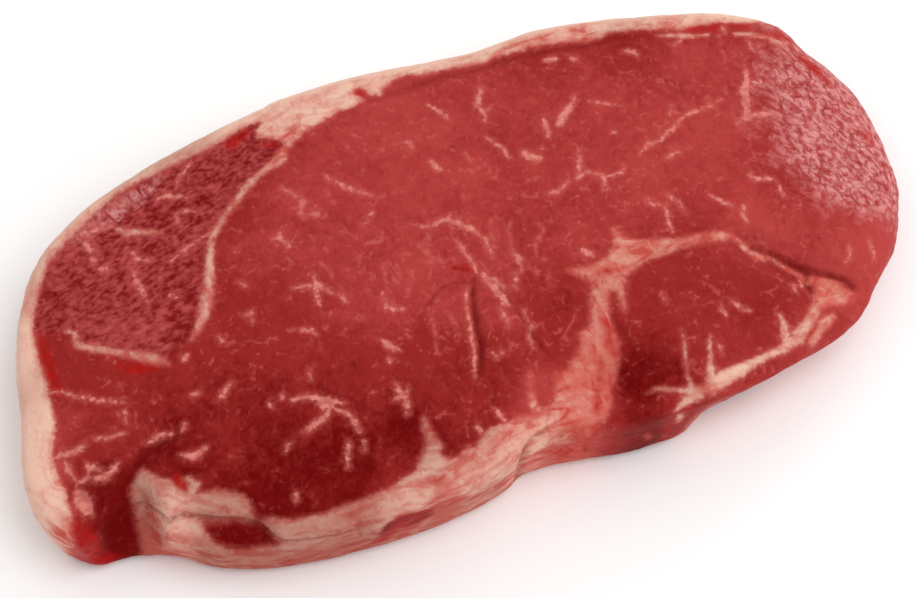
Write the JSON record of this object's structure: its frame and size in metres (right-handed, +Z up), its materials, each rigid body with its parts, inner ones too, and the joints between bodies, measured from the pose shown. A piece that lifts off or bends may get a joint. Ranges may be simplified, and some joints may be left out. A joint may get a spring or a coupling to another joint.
{
  "type": "raw sirloin steak",
  "caption": "One raw boneless sirloin steak: a flat slice of red lean with a pale rim of fat, a small side muscle and a notch at the tail, lying flat.",
  "frame": {"origin": "on the surface that the steak lies on, under the middle of its outline", "axes": "+X along the length of the slice, from the tail with the notch to the tapered end; +Y from the front edge to the fat-covered back edge; +Z up, out of the shown cut face"},
  "size_m": [0.2164, 0.1122, 0.0229],
  "materials": {
    "meat": "moist raw beef: red lean with fine grain and pale flecks of marbling, cream to pink fat round the edge, satin with soft wet highlights"
  },
  "bodies": {
    "root": {"steak": "meat"}
  },
  "joints": []
}
